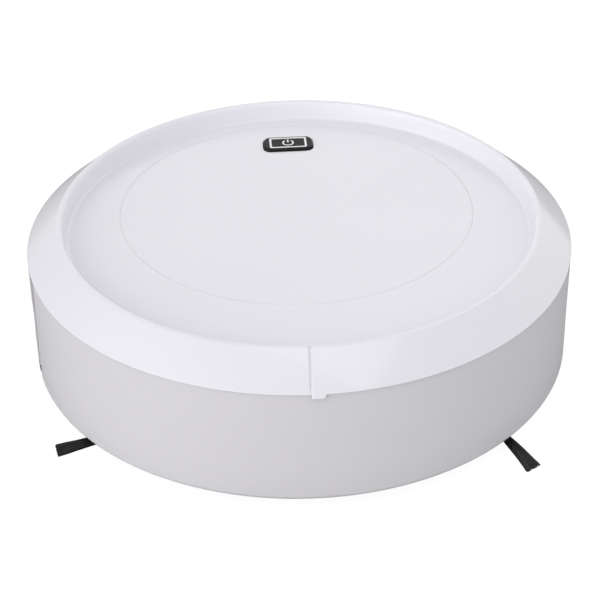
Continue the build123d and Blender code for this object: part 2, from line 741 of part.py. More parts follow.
with BuildPart() as power_rocker:
    with BuildSketch(Plane.XZ.offset(-rocker_y - 3.1)):
        with BuildLine():
            Polyline(
                (rocker_x - 2.5, panel_z - 3.8), (rocker_x - 2.0, panel_z), (rocker_x - 2.5, panel_z + 3.8),
                (rocker_x + 1, panel_z + 3.4), (rocker_x + 3.5, panel_z), (rocker_x + 1, panel_z - 3.4),
                close=True,
            )
        make_face()
    extrude(amount=6.2)
    rod_y(rocker_x, rocker_y - 4.3, rocker_y + 4.3, panel_z, 1)
rocker_axis = Axis((rocker_x, rocker_y, panel_z), (0, 1, 0))
save(power_rocker.part.rotate(rocker_axis, rocker_tilt), "power_rocker")
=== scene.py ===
"""Looks of the robot vacuum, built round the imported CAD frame.

The scene is in metres, the sizes below are in millimetres, and the front is towards -Y.
"""

import json
import math
import random

import bpy
from mathutils import Matrix, Vector


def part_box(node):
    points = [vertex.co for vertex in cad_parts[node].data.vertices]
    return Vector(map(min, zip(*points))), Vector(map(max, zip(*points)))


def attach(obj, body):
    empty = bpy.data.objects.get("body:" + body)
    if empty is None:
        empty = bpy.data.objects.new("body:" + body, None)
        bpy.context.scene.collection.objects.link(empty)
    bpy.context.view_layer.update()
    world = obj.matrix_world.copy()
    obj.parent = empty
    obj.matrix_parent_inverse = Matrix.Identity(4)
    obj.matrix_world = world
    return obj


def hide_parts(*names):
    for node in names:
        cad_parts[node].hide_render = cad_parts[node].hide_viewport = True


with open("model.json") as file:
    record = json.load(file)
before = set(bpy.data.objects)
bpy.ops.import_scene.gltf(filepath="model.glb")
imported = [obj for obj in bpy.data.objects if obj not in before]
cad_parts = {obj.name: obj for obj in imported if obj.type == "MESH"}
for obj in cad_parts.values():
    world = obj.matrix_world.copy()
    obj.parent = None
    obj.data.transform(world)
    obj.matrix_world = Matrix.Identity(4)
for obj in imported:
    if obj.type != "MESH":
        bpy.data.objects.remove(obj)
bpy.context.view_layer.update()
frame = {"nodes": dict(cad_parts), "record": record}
nodes = frame["nodes"]
MM = 0.001

# ------------------------------------------------------------------ sizes, in millimetres
cover_lo, cover_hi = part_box("top_cover")
wall_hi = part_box("mid_frame")[1]
base_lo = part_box("base_plate")[0]
disc_lo, disc_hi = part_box("trim_disc")
button_lo, button_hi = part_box("start_button")

BODY_R = (cover_hi.x - cover_lo.x) / 2 / MM
BODY_H = cover_hi.z / MM
BASE_Z = base_lo.z / MM
EDGE_Z = wall_hi.z / MM + 0.3
CREST_R = 108.6
CREST_FILLET = 1.9
DISH_R = 106.4
DISH_Z = disc_hi.z / MM
COVER_T = 2.2
DISC_R = (disc_hi.x - disc_lo.x) / 2 / MM
DISC_X = (disc_hi.x + disc_lo.x) / 2 / MM
DISC_Y = (disc_hi.y + disc_lo.y) / 2 / MM
DISC_T = (disc_hi.z - disc_lo.z) / MM
BUTTON_Y = (button_hi.y + button_lo.y) / 2 / MM
BUTTON_Z = button_hi.z / MM
BUTTON_W = 24.0
BUTTON_D = 13.0
BUTTON_R = 3.5
HOLE = (BUTTON_W + 0.8, BUTTON_D + 0.8, BUTTON_R + 0.4)
MARK_W = 18.4
MARK_D = 10.2
MARK_LINE = 1.0
BUMPER_HALF = math.radians(77.0)
BUMPER_TOP = 62.3
WALL_T = 2.8
WALL_DRAFT = 0.55
GROOVE_X = -3.3
GROOVE_HALF = 0.2
GROOVE_SOFT = 0.65
GROOVE_DEPTH = 0.75
GROOVE_KNEE_R = 121.5
GROOVE_AT_RIM = 0.13
SKIRT_IN = BODY_R - 0.45
SKIRT_DROP = 1.0
RIM_DROP = 0.95
RIM_BLEND = 0.3
EDGE_ROUND = 0.3
TAB_X = -0.2
TAB_W = 6.4
TAB_STEEP = 0.35
TAB_SLANT = 1.3
TAB_REACH = 1.75
# cover section: underside corners, lip over the bumper, foot of the dish slope
COVER_LOW_R = 108.2
COVER_SHOULDER_R = 110.3
COVER_SHOULDER_Z = 72.2
COVER_LAP_R = 121.5
LIP_BACK = 1.14
LIP_FORWARD = 0.06
LIP_TOP = 0.1
LIP_FALL = 0.9
RIM_LIFT = 0.1
FOOT_DROP = 0.25
FOOT_FILLET = 1.5
DISH_FLAT_R = DISH_R - 2.6
# soft V groove round the disc: (radial step, height) on the cover's side and on the disc's
RECESS_LIP = (
    (0.95, 0.0),
    (0.75, -0.01),
    (0.5, -0.07),
    (0.25, -0.19),
    (0.05, -0.27),
    (0.04, -DISC_T),
)
DISC_LIP = (
    (0.0, -0.28),
    (-0.15, -0.2),
    (-0.4, -0.07),
    (-0.65, -0.01),
    (-0.9, 0.0),
    (-2.2, 0.0),
)
# knuckle of the cover's hinge
KNUCKLE_HALF = 9.6
KNUCKLE_R = 2.4
KNUCKLE_BORE = 1.4
WEB_HALF = 9.5
WEB_LOW = 1.5
# bumper section, its top outer corner cut back under the lip, its tongues and flags
FLANGE_R = 119.8
FLANGE_T = 2.6
WALL_BOW_Z = 20.0
CUT_DROP = 0.7
CUT_IN = 0.9
TONGUE_X = 40.0
TONGUE_HALF = 1.5
FLAG_HALF = 0.4
# side brushes: where the filaments leave the hub
TUFT_ROOT_R = 12.6


# ------------------------------------------------------------------ mesh helpers
def collection_link(obj):
    bpy.context.scene.collection.objects.link(obj)
    return obj


def mesh_object(name, points, faces, sharp=35.0):
    """New object from points in millimetres, smooth except at edges sharper than the angle."""
    me = bpy.data.meshes.new(name)
    me.from_pydata([(x * MM, y * MM, z * MM) for x, y, z in points], [], faces)
    me.validate()
    me.update()
    me.shade_smooth()
    me.set_sharp_from_angle(angle=math.radians(sharp))
    return collection_link(bpy.data.objects.new(name, me))


def loft_faces(rows, count, around=True, close=False, flip=False, start=0):
    """Quads between rows of count points each."""
    faces = []
    last = rows if close else rows - 1
    span = count if around else count - 1
    for i in range(last):
        a0 = start + i * count
        b0 = start + ((i + 1) % rows) * count
        for j in range(span):
            k = (j + 1) % count
            quad = (a0 + j, a0 + k, b0 + k, b0 + j)
            faces.append(quad[::-1] if flip else quad)
    return faces


def loft(name, loops, around=True, close=False, flip=False, caps=False, sharp=35.0):
    """Skin over loops of points.

    caps fill the first and last loop, or, where the loops are open, the ends across them.
    """
    count = len(loops[0])
    points = [p for loop in loops for p in loop]
    faces = loft_faces(len(loops), count, around, close, flip)
    if caps and around:
        first = tuple(range(count))
        last = tuple(range((len(loops) - 1) * count, len(loops) * count))
        faces.append(first if flip else first[::-1])
        faces.append(last[::-1] if flip else last)
    if caps and not around:
        first = tuple(i * count for i in range(len(loops)))
        last = tuple(i * count + count - 1 for i in range(len(loops)))
        faces.append(first if not flip else first[::-1])
        faces.append(last[::-1] if not flip else last)
    return mesh_object(name, points, faces, sharp)


def rounded(corners, steps=6, closed=True):
    """Polyline through (x, y, radius) corners, each rounded by its radius."""
    out = []
    n = len(corners)
    for i, (x, y, r) in enumerate(corners):
        p = Vector((x, y))
        if r <= 0 or (not closed and i in (0, n - 1)):
            out.append((x, y))
            continue
        a = Vector(corners[i - 1][:2]) - p
        b = Vector(corners[(i + 1) % n][:2]) - p
        half = a.angle(b) / 2
        cut = min(r / math.tan(half), a.length * 0.48, b.length * 0.48)
        r = cut * math.tan(half)
        start = p + a.normalized() * cut
        centre = p + (a.normalized() + b.normalized()).normalized() * (r / math.sin(half))
        u = start - centre
        w = (p + b.normalized() * cut) - centre
        turn = u.angle_signed(w)
        for k in range(steps + 1):
            t = -turn * k / steps
            c, s = math.cos(t), math.sin(t)
            out.append((centre.x + u.x * c - u.y * s, centre.y + u.x * s + u.y * c))
    return out


def smooth_step(t):
    t = max(0.0, min(1.0, t))
    return t * t * (3 - 2 * t)


def ring(radius, z, angles, cx=0.0, cy=0.0):
    """Circle of points, angle 0 at the front, turning towards +X."""
    return [(cx + radius * math.sin(a), cy - radius * math.cos(a), z) for a in angles]


def round_rect(w, d, r, z, angles, cx=0.0, cy=0.0):
    """Rounded rectangle, one point for each direction angle from its centre."""
    loop = []
    for a in angles:
        dx, dy = math.sin(a), -math.cos(a)
        # distance along the ray to the rounded outline, by bisection on its signed distance
        low, high = 0.0, w + d
        for _ in range(30):
            mid = (low + high) / 2
            qx = abs(dx * mid) - (w / 2 - r)
            qy = abs(dy * mid) - (d / 2 - r)
            outside = math.hypot(max(qx, 0), max(qy, 0)) + min(max(qx, qy), 0) - r
            if outside > 0:
                high = mid
            else:
                low = mid
        loop.append((cx + dx * low, cy + dy * low, z))
    return loop


def front_angles(count, centre_marks=()):
    """Even angles round the circle, and more at marks of (angle, half width, extra count)."""
    values = [-math.pi + 2 * math.pi * i / count for i in range(count)]
    for mark, half, extra in centre_marks:
        values += [mark - half + 2 * half * i / extra for i in range(extra + 1)]
    values.sort()
    kept = []
    for v in values:
        if not kept or v - kept[-1] > 2e-5:
            kept.append(v)
    return kept


def seen_from(cx, cy, loop):
    """Direction angles of a loop's points from a centre inside it."""
    return [math.atan2(x - cx, cy - y) for x, y, _ in loop]


# ------------------------------------------------------------------ node helpers
def new_material(name):
    m = bpy.data.materials.new(name)
    m.use_nodes = True
    return m, m.node_tree, m.node_tree.nodes["Principled BSDF"]


def add(tree, kind, **values):
    n = tree.nodes.new(kind)
    for key, value in values.items():
        if key.startswith("in_"):
            n.inputs[key[3:].replace("_", " ")].default_value = value
        else:
            setattr(n, key, value)
    return n


def coords(tree, scale=(1.0, 1.0, 1.0)):
    """Object coordinates, in metres, scaled."""
    tex = add(tree, "ShaderNodeTexCoord")
    mapping = add(tree, "ShaderNodeMapping")
    mapping.inputs["Scale"].default_value = scale
    tree.links.new(tex.outputs["Object"], mapping.inputs["Vector"])
    return mapping.outputs["Vector"]


def noise(tree, vector, scale, detail=3.0, rough=0.55):
    n = add(tree, "ShaderNodeTexNoise")
    n.inputs["Scale"].default_value = scale
    n.inputs["Detail"].default_value = detail
    n.inputs["Roughness"].default_value = rough
    tree.links.new(vector, n.inputs["Vector"])
    return n.outputs["Fac"]


def spread(tree, value, low, high, start=0.3, end=0.7):
    """Map a value between two limits."""
    n = add(tree, "ShaderNodeMapRange")
    n.inputs["From Min"].default_value = start
    n.inputs["From Max"].default_value = end
    n.inputs["To Min"].default_value = low
    n.inputs["To Max"].default_value = high
    tree.links.new(value, n.inputs["Value"])
    return n.outputs["Result"]


def two_tone(tree, value, dark, light, start=0.3, end=0.7):
    ramp = add(tree, "ShaderNodeValToRGB")
    ramp.color_ramp.elements[0].position = start
    ramp.color_ramp.elements[1].position = end
    ramp.color_ramp.elements[0].color = (*dark, 1)
    ramp.color_ramp.elements[1].color = (*light, 1)
    tree.links.new(value, ramp.inputs["Fac"])
    return ramp.outputs["Color"]


def bump(tree, height, strength, distance, before=None):
    n = add(tree, "ShaderNodeBump")
    n.inputs["Strength"].default_value = strength
    n.inputs["Distance"].default_value = distance
    tree.links.new(height, n.inputs["Height"])
    if before is not None:
        tree.links.new(before, n.inputs["Normal"])
    return n.outputs["Normal"]


def maths(tree, operation, a, b):
    n = add(tree, "ShaderNodeMath", operation=operation)
    for i, v in enumerate((a, b)):
        if isinstance(v, (int, float)):
            n.inputs[i].default_value = v
        else:
            tree.links.new(v, n.inputs[i])
    return n.outputs[0]


# ------------------------------------------------------------------ materials
def white_plastic(name, light, dark, rough, waviness, specular):
    """Moulded gloss white: faint clouding, a fine grain and long soft waves."""
    m, tree, shader = new_material(name)
    where = coords(tree)
    cloud = noise(tree, where, 9.0, 4.0)
    tree.links.new(two_tone(tree, cloud, dark, light), shader.inputs["Base Color"])
    smear = noise(tree, where, 38.0, 5.0, 0.62)
    tree.links.new(spread(tree, smear, rough * 0.93, rough * 1.08), shader.inputs["Roughness"])
    shader.inputs["IOR"].default_value = 1.49
    shader.inputs["Specular IOR Level"].default_value = specular
    waves = noise(tree, where, 16.0, 1.0)
    soft = bump(tree, waves, waviness, 0.0006)
    grain = noise(tree, where, 2600.0, 2.0)
    tree.links.new(bump(tree, grain, 0.018, 0.00004, soft), shader.inputs["Normal"])
    return m


def moulded_plastic(name, light, dark, rough, grain_scale=1500.0, grain=0.12, specular=0.5):
    """Fine-textured moulded plastic, slightly uneven in tone and gloss."""
    m, tree, shader = new_material(name)
    where = coords(tree)
    cloud = noise(tree, where, 22.0, 5.0, 0.6)
    tree.links.new(two_tone(tree, cloud, dark, light, 0.35, 0.68), shader.inputs["Base Color"])
    smear = noise(tree, where, 60.0, 4.0)
    uneven = spread(tree, smear, rough * 0.8, min(1.0, rough * 1.2))
    tree.links.new(uneven, shader.inputs["Roughness"])
    shader.inputs["IOR"].default_value = 1.5
    shader.inputs["Specular IOR Level"].default_value = specular
    tiny = noise(tree, where, grain_scale, 2.0, 0.6)
    texture = bump(tree, tiny, grain, 0.00008)
    waves = noise(tree, where, 30.0, 1.0)
    tree.links.new(bump(tree, waves, 0.05, 0.0005, texture), shader.inputs["Normal"])
    return m


def metal(name, light, dark, rough, stretch):
    """Plated or drawn metal with directional polish marks."""
    m, tree, shader = new_material(name)
    shader.inputs["Metallic"].default_value = 1.0
    marks = noise(tree, coords(tree, stretch), 1.0, 4.0, 0.65)
    tree.links.new(two_tone(tree, marks, dark, light), shader.inputs["Base Color"])
    tree.links.new(spread(tree, marks, rough * 0.7, rough * 1.4), shader.inputs["Roughness"])
    tree.links.new(bump(tree, marks, 0.12, 0.00005), shader.inputs["Normal"])
    return m


def rubber(name, light, dark, rough):
    """Rubber with a dusty bloom and a matt skin."""
    m, tree, shader = new_material(name)
    where = coords(tree)
    dust = noise(tree, where, 55.0, 6.0, 0.68)
    tree.links.new(two_tone(tree, dust, dark, light, 0.42, 0.78), shader.inputs["Base Color"])
    uneven = spread(tree, dust, rough * 0.9, min(1.0, rough * 1.15))
    tree.links.new(uneven, shader.inputs["Roughness"])
    shader.inputs["IOR"].default_value = 1.52
    pores = noise(tree, where, 1100.0, 3.0, 0.6)
    tree.links.new(bump(tree, pores, 0.22, 0.0001), shader.inputs["Normal"])
    return m


def clear_plastic(name, tint, rough):
    """Smoke-tinted clear moulding, faintly hazed by use."""
    m, tree, shader = new_material(name)
    where = coords(tree)
    haze = noise(tree, where, 45.0, 5.0, 0.6)
    dark = tuple(c * 0.9 for c in tint)
    tree.links.new(two_tone(tree, haze, dark, tint), shader.inputs["Base Color"])
    tree.links.new(spread(tree, haze, rough, rough * 2.4), shader.inputs["Roughness"])
    shader.inputs["Transmission Weight"].default_value = 0.85
    shader.inputs["IOR"].default_value = 1.49
    waves = noise(tree, where, 25.0, 1.0)
    tree.links.new(bump(tree, waves, 0.08, 0.0005), shader.inputs["Normal"])
    return m


def paper(name):
    """Non-woven filter medium: matted fibres."""
    m, tree, shader = new_material(name)
    fibres = noise(tree, coords(tree, (900.0, 900.0, 160.0)), 1.0, 6.0, 0.7)
    tree.links.new(
        two_tone(tree, fibres, (0.56, 0.55, 0.50), (0.84, 0.83, 0.78)), shader.inputs["Base Color"]
    )
    shader.inputs["Roughness"].default_value = 0.92
    shader.inputs["Sheen Weight"].default_value = 0.25
    tree.links.new(bump(tree, fibres, 0.5, 0.0002), shader.inputs["Normal"])
    return m


def board(name):
    """Solder mask over copper tracks."""
    m, tree, shader = new_material(name)
    where = coords(tree)
    cells = add(tree, "ShaderNodeTexVoronoi", feature="DISTANCE_TO_EDGE", distance="MANHATTAN")
    cells.inputs["Scale"].default_value = 190.0
    tree.links.new(where, cells.inputs["Vector"])
    tracks = spread(tree, cells.outputs["Distance"], 1.0, 0.0, 0.04, 0.07)
    shade = noise(tree, where, 30.0, 3.0)
    mask = two_tone(tree, shade, (0.010, 0.080, 0.030), (0.016, 0.120, 0.045))
    mix = add(tree, "ShaderNodeMix", data_type="RGBA")
    tree.links.new(tracks, mix.inputs["Factor"])
    tree.links.new(mask, mix.inputs["A"])
    mix.inputs["B"].default_value = (0.05, 0.26, 0.09, 1)
    tree.links.new(mix.outputs["Result"], shader.inputs["Base Color"])
    tree.links.new(spread(tree, shade, 0.3, 0.42), shader.inputs["Roughness"])
    tree.links.new(bump(tree, tracks, 0.3, 0.00005), shader.inputs["Normal"])
    return m


def nylon(name):
    """Black filament, faintly mottled with a lighter black."""
    m, tree, shader = new_material(name)
    streak = noise(tree, coords(tree, (420.0, 420.0, 900.0)), 1.0, 3.0)
    colour = two_tone(tree, streak, (0.004, 0.004, 0.005), (0.012, 0.012, 0.013))
    tree.links.new(colour, shader.inputs["Base Color"])
    tree.links.new(spread(tree, streak, 0.38, 0.6), shader.inputs["Roughness"])
    shader.inputs["IOR"].default_value = 1.53
    tree.links.new(bump(tree, streak, 0.15, 0.00005), shader.inputs["Normal"])
    return m


def window(name):
    """Infrared window: near-black gloss with a deep red cast."""
    m, tree, shader = new_material(name)
    cloud = noise(tree, coords(tree), 60.0, 3.0)
    colour = two_tone(tree, cloud, (0.010, 0.005, 0.006), (0.022, 0.010, 0.012))
    tree.links.new(colour, shader.inputs["Base Color"])
    tree.links.new(spread(tree, cloud, 0.06, 0.16), shader.inputs["Roughness"])
    tree.links.new(bump(tree, cloud, 0.05, 0.0002), shader.inputs["Normal"])
    return m


def print_ink(name):
    """White pad print, a little uneven."""
    m, tree, shader = new_material(name)
    cover = noise(tree, coords(tree), 1400.0, 3.0)
    tree.links.new(
        two_tone(tree, cover, (0.72, 0.72, 0.73), (0.88, 0.88, 0.88)), shader.inputs["Base Color"]
    )
    tree.links.new(spread(tree, cover, 0.35, 0.5), shader.inputs["Roughness"])
    tree.links.new(bump(tree, cover, 0.2, 0.00003), shader.inputs["Normal"])
    return m


def floor_paint(name, tone, glow):
    """Matt stage paint that can also glow."""
    m, tree, shader = new_material(name)
    cloud = noise(tree, coords(tree), 2.0, 3.0)
    tree.links.new(
        two_tone(tree, cloud, (tone * 0.97,) * 3, (tone * 1.03,) * 3), shader.inputs["Base Color"]
    )
    shader.inputs["Roughness"].default_value = 0.9
    shader.inputs["Specular IOR Level"].default_value = 0.1
    shader.inputs["Emission Color"].default_value = (1, 1, 1, 1)
    shader.inputs["Emission Strength"].default_value = glow
    tree.links.new(bump(tree, cloud, 0.02, 0.001), shader.inputs["Normal"])
    return m


FLOOR_GLOW = 0.95
TABLE_TONE = 0.35
SHELL = white_plastic("shell_white", (0.775, 0.765, 0.815), (0.760, 0.750, 0.800), 0.13, 0.05, 0.5)
WALL = white_plastic("wall_white", (0.768, 0.752, 0.788), (0.756, 0.740, 0.776), 0.31, 0.03, 0.4)
MATERIALS = {
    "shell_white": SHELL,
    "wall_white": WALL,
    "button_black": moulded_plastic(
        "button_black", (0.011, 0.011, 0.013), (0.007, 0.007, 0.008), 0.42, specular=0.2
    ),
    "ink_white": print_ink("ink_white"),
    "steel": metal("steel", (0.66, 0.66, 0.67), (0.42, 0.42, 0.43), 0.42, (500.0, 500.0, 90.0)),
    "black_plastic": moulded_plastic(
        "black_plastic", (0.036, 0.036, 0.039), (0.028, 0.028, 0.030), 0.5
    ),
    "grey_plastic": moulded_plastic(
        "grey_plastic", (0.285, 0.295, 0.315), (0.265, 0.275, 0.295), 0.45
    ),
    "smoke_clear": clear_plastic("smoke_clear", (0.52, 0.55, 0.60), 0.05),
    "filter_paper": paper("filter_paper"),
    "bristle": nylon("bristle"),
    "tyre_rubber": rubber("tyre_rubber", (0.070, 0.068, 0.064), (0.018, 0.018, 0.018), 0.8),
    "lip_rubber": rubber("lip_rubber", (0.055, 0.054, 0.052), (0.022, 0.022, 0.022), 0.7),
    "motor_steel": metal(
        "motor_steel", (0.62, 0.62, 0.63), (0.46, 0.46, 0.47), 0.41, (90.0, 90.0, 700.0)
    ),
    "battery_wrap": moulded_plastic(
        "battery_wrap", (0.03, 0.10, 0.38), (0.02, 0.07, 0.29), 0.2, 300.0, 0.1
    ),
    "board_green": board("board_green"),
    "dark_glass": window("dark_glass"),
}


def smooth_shading():
    """Node group that joins the imported seams and shades smooth between sharp edges."""
    g = bpy.data.node_groups.new("soft_shading", "GeometryNodeTree")
    g.interface.new_socket("Geometry", in_out="INPUT", socket_type="NodeSocketGeometry")
    g.interface.new_socket("Geometry", in_out="OUTPUT", socket_type="NodeSocketGeometry")
    start = g.nodes.new("NodeGroupInput")
    end = g.nodes.new("NodeGroupOutput")
    weld = g.nodes.new("GeometryNodeMergeByDistance")
    weld.inputs["Distance"].default_value = 2e-6
    faces = g.nodes.new("GeometryNodeSetShadeSmooth")
    faces.domain = "FACE"
    edges = g.nodes.new("GeometryNodeSetShadeSmooth")
    edges.domain = "EDGE"
    edges.inputs["Shade Smooth"].default_value = False
    angle = g.nodes.new("GeometryNodeInputMeshEdgeAngle")
    above = g.nodes.new("FunctionNodeCompare")
    above.data_type = "FLOAT"
    above.operation = "GREATER_THAN"
    above.inputs[1].default_value = math.radians(28)
    g.links.new(start.outputs[0], weld.inputs["Geometry"])
    g.links.new(weld.outputs["Geometry"], faces.inputs["Geometry"])
    g.links.new(faces.outputs["Geometry"], edges.inputs["Geometry"])
    g.links.new(angle.outputs["Unsigned Angle"], above.inputs[0])
    g.links.new(above.outputs["Result"], edges.inputs["Selection"])
    g.links.new(edges.outputs["Geometry"], end.inputs[0])
    return g


SOFT_SHADING = smooth_shading()
slot_of = {s["node"]: s["material_slot"] for s in frame["record"]["subparts"]}
for node_name, node in nodes.items():
    node.data.materials.clear()
    node.data.materials.append(MATERIALS[slot_of[node_name]])
    node.modifiers.new("shading", "NODES").node_group = SOFT_SHADING


def piece(obj, body, material, replaced=()):
    """Dress a new piece, put it on its body and hide what it stands for."""
    obj.data.materials.clear()
    obj.data.materials.append(MATERIALS[material])
    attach(obj, body)
    if replaced:
        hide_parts(*replaced)


# ------------------------------------------------------------------ top cover
def front_width(a, x, half, soft):
    """1 where the angle is within half of x at the rim, falling to 0 over soft, in millimetres."""
    if abs(a) > 0.3:
        return 0.0
    d = abs(BODY_R * math.sin(a) - x)
    return smooth_step((half + soft - d) / soft)


def tab_share(a):
    """How far the tab stands out at this angle: square at one end, slanted at the other."""
    if abs(a) > 0.3:
        return 0.0
    x = BODY_R * math.sin(a) - TAB_X
    left = smooth_step((x + TAB_W / 2) / TAB_STEEP)
    right = smooth_step((TAB_W / 2 - x) / TAB_SLANT)
    return min(left, right)


def crest_corner():
    """Height of the sharp crest corner whose rounding tops out at the body's height."""
    z = BODY_H
    for _ in range(6):
        bevel = math.atan2(z - EDGE_Z, BODY_R - CREST_R)
        inner = math.atan2(z - DISH_Z, CREST_R - DISH_R)
        n1 = Vector((math.sin(bevel), math.cos(bevel)))
        n2 = Vector((-math.sin(inner), math.cos(inner)))
        z = BODY_H + CREST_FILLET * ((n1 + n2).y / (1 + n1.dot(n2)) - 1)
    return z, math.atan2(z - EDGE_Z, BODY_R - CREST_R)


CREST_Z, BEVEL = crest_corner()


def rim_share(a):
    """1 where the cover's rim laps down over the bumper, easing to 0 at the bumper's ends."""
    return round(smooth_step((BUMPER_HALF - abs(a)) / RIM_BLEND), 3)


def cover_section(share, tab):
    """Half section; share laps the rim over the bumper, tab pulls it out along the bevel."""
    dx = TAB_REACH * tab * math.cos(BEVEL)
    dz = -TAB_REACH * tab * math.sin(BEVEL)
    rim_z = EDGE_Z + RIM_LIFT - RIM_DROP * share + dz
    foot_z = EDGE_Z - FOOT_DROP - SKIRT_DROP * share + dz
    skirt_r = SKIRT_IN + LIP_FORWARD * share + dx
    knee = (BODY_R + dx - GROOVE_KNEE_R) / (BODY_R + dx - CREST_R)
    corners = [
        (COVER_LOW_R, DISH_Z - COVER_T, 0.8),
        (COVER_SHOULDER_R, COVER_SHOULDER_Z, 1.0),
        (COVER_LAP_R, EDGE_Z, 0.2),
        (SKIRT_IN - LIP_BACK * share, EDGE_Z, 0),
        (skirt_r, EDGE_Z - LIP_TOP - LIP_FALL * share + dz, 0),
        (skirt_r, foot_z, 0.08),
        (BODY_R + dx, foot_z, 0.15),
        (BODY_R + dx, rim_z, EDGE_ROUND),
        (GROOVE_KNEE_R, rim_z + knee * (CREST_Z - rim_z), 0),
        (CREST_R, CREST_Z, CREST_FILLET),
        (DISH_R, DISH_Z, FOOT_FILLET),
        (DISH_FLAT_R, DISH_Z, 0),
    ]
    return rounded(corners, 8, closed=False)


def build_cover():
    angles = front_angles(
        720,
        [
            (GROOVE_X / BODY_R, 0.012, 40),
            (TAB_X / BODY_R, 0.034, 60),
        ],
    )
    to_button = seen_from(0, BUTTON_Y, ring(DISC_R, 0, angles, DISC_X, DISC_Y))
    low = DISH_Z - COVER_T
    sections = {}
    columns = []
    for a in angles:
        key = (rim_share(a), round(tab_share(a), 4))
        if key not in sections:
            sections[key] = cover_section(*key)
        groove = GROOVE_DEPTH * front_width(a, GROOVE_X, GROOVE_HALF, GROOVE_SOFT)
        rim_z = EDGE_Z + RIM_LIFT - RIM_DROP * key[0]
        column = []
        for r, z in sections[key]:
            # the lip is thin over the bumper, so the groove runs out towards the rim
            bevel_z = rim_z + (BODY_R - r) * math.tan(BEVEL)
            outside = r > BODY_R - 0.2 or (r > CREST_R + 0.2 and z > bevel_z - 0.15)
            g = groove * (1.0 if r <= GROOVE_KNEE_R else GROOVE_AT_RIM) if outside else 0.0
            r, z = r - math.sin(BEVEL) * g, z - math.cos(BEVEL) * g
            column.append((r * math.sin(a), -r * math.cos(a), z))
        columns.append(column)
    loops = [
        round_rect(*HOLE, low, to_button, 0, BUTTON_Y),
        ring(DISC_R + 4, low, angles, DISC_X, DISC_Y),
    ]
    loops += [list(loop) for loop in zip(*columns)]
    start_c, end_c = Vector((0, 0)), Vector((DISC_X, DISC_Y))
    start_r, end_r = DISH_FLAT_R, DISC_R + 2.2
    for k in range(1, 5):
        t = k / 4
        c = start_c.lerp(end_c, t)
        loops.append(ring(start_r + (end_r - start_r) * t, DISH_Z, angles, c.x, c.y))
    # soft lip of the disc's recess
    for dr, dz in RECESS_LIP:
        loops.append(ring(DISC_R + dr, DISH_Z + dz, angles, DISC_X, DISC_Y))
    loops.append(ring(DISC_R - 1, DISH_Z - DISC_T, angles, DISC_X, DISC_Y))
    loops.append(round_rect(*HOLE, DISH_Z - DISC_T, to_button, 0, BUTTON_Y))
    return loft("cover_shell", loops, close=True, sharp=50)


piece(build_cover(), "lid", "shell_white", ["top_cover"])


def build_disc():
    angles = front_angles(720)
    to_button = seen_from(0, BUTTON_Y, ring(DISC_R, 0, angles, DISC_X, DISC_Y))
    top, low = DISH_Z, DISH_Z - DISC_T + 0.01
    w, d, r = HOLE
    loops = [
        round_rect(w, d, r, low, to_button, 0, BUTTON_Y),
        ring(DISC_R - 0.1, low, angles, DISC_X, DISC_Y),
        ring(DISC_R, low + 0.1, angles, DISC_X, DISC_Y),
    ]
    for dr, dz in DISC_LIP:
        loops.append(ring(DISC_R + dr, top + dz, angles, DISC_X, DISC_Y))
    for grow, dz in ((2.4, 0.0), (0.7, 0.0), (0.35, -0.05), (0.1, -0.18), (0.0, -0.4)):
        loops.append(round_rect(w + grow, d + grow, r + grow / 2, top + dz, to_button, 0, BUTTON_Y))
    return loft("disc_insert", loops, close=True, sharp=50)


piece(build_disc(), "lid", "shell_white", ["trim_disc"])


# ------------------------------------------------------------------ lid hinge knuckle
def tube_along_x(name, x0, x1, y, z, radius, bore, steps=40, soft=0.3):
    """Bored round bar along X with rounded rims."""
    profile = [(x0, radius - soft), (x0 + soft * 0.3, radius - soft * 0.3), (x0 + soft, radius)]
    profile += [(x1 - soft, radius), (x1 - soft * 0.3, radius - soft * 0.3), (x1, radius - soft)]
    profile += [(x1, bore), (x0, bore)]
    turns = [2 * math.pi * i / steps for i in range(steps)]
    loops = [[(x, y + r * math.cos(t), z + r * math.sin(t)) for t in turns] for x, r in profile]
    return loft(name, loops, close=True, sharp=40)


pin_lo, pin_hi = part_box("lid_hinge_pin")
pin_y = (pin_lo.y + pin_hi.y) / 2 / MM
pin_z = (pin_lo.z + pin_hi.z) / 2 / MM
ends = (-KNUCKLE_HALF, KNUCKLE_HALF)
knuckle = tube_along_x("lid_knuckle", *ends, pin_y, pin_z, KNUCKLE_R, KNUCKLE_BORE)
piece(knuckle, "lid", "shell_white")
web = rounded(
    [
        (pin_y - 1.9, pin_z + WEB_LOW, 0.1),
        (pin_y + 0.9, pin_z + WEB_LOW, 0.1),
        (pin_y + 0.9, 64.4, 0.3),
        (pin_y - 2.3, 65.2, 0.3),
    ],
    3,
)
web_ends = [[(x, y, z) for y, z in web] for x in (-WEB_HALF, WEB_HALF)]
piece(loft("lid_knuckle_web", web_ends, caps=True, flip=True), "lid", "shell_white")


# ------------------------------------------------------------------ start button
FINGER_DIP = 0.10
BUTTON_EDGE = 0.9
BUTTON_BELOW = 3.75
BUTTON_FLANGE = 3.0
BUTTON_FLANGE_T = 1.35


